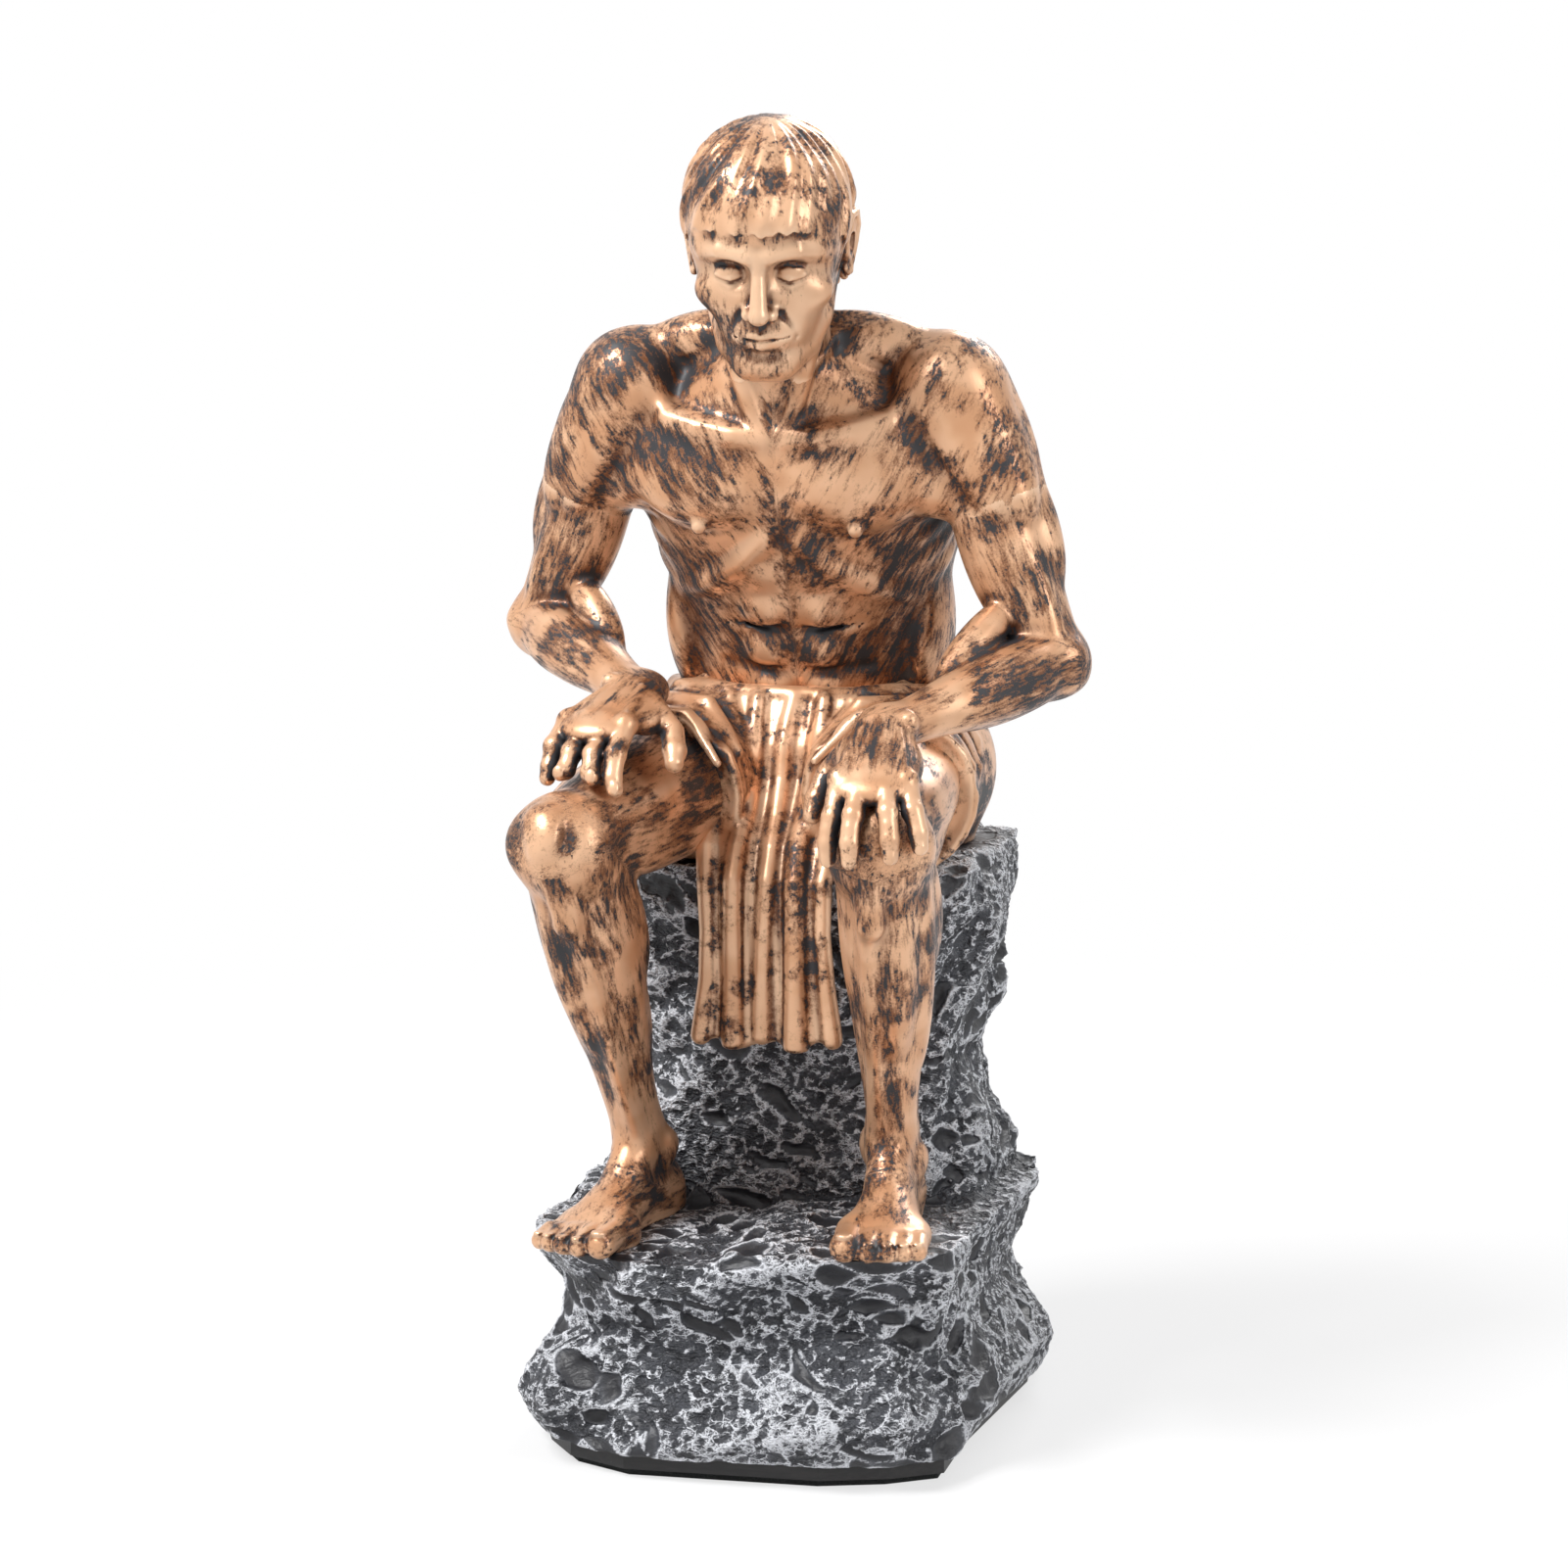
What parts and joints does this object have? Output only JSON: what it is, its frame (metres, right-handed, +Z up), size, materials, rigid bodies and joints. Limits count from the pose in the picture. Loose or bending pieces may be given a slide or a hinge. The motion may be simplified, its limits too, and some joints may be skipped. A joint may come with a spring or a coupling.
{
  "type": "seated figure statue",
  "caption": "Shelf statue of a calm seated figure with its hands on its knees, on a rough rock with a foot ledge.",
  "frame": {"origin": "middle of the felt sheet's underside, where the statue rests", "axes": "+Z up, the figure looks along -Y, its left hand is on the +X side"},
  "size_m": [0.1211, 0.1183, 0.2535],
  "materials": {
    "bronze_paint": "satin",
    "rock_paint": "matte",
    "board": "satin",
    "felt": "matte",
    "steel": "satin"
  },
  "bodies": {
    "root": {"base_plate": "board", "base_screws": "steel", "felt_sheet": "felt", "head": "bronze_paint", "hip_wrap": "bronze_paint", "left_arm": "bronze_paint", "left_foot_pin": "steel", "left_hip_pin": "steel", "left_leg": "bronze_paint", "left_shoulder_pin": "steel", "neck_pin": "steel", "right_arm": "bronze_paint", "right_foot_pin": "steel", "right_hip_pin": "steel", "right_leg": "bronze_paint", "right_shoulder_pin": "steel", "rock_base": "rock_paint", "seat_pins": "steel", "torso": "bronze_paint", "waist_pins": "steel"}
  },
  "joints": []
}
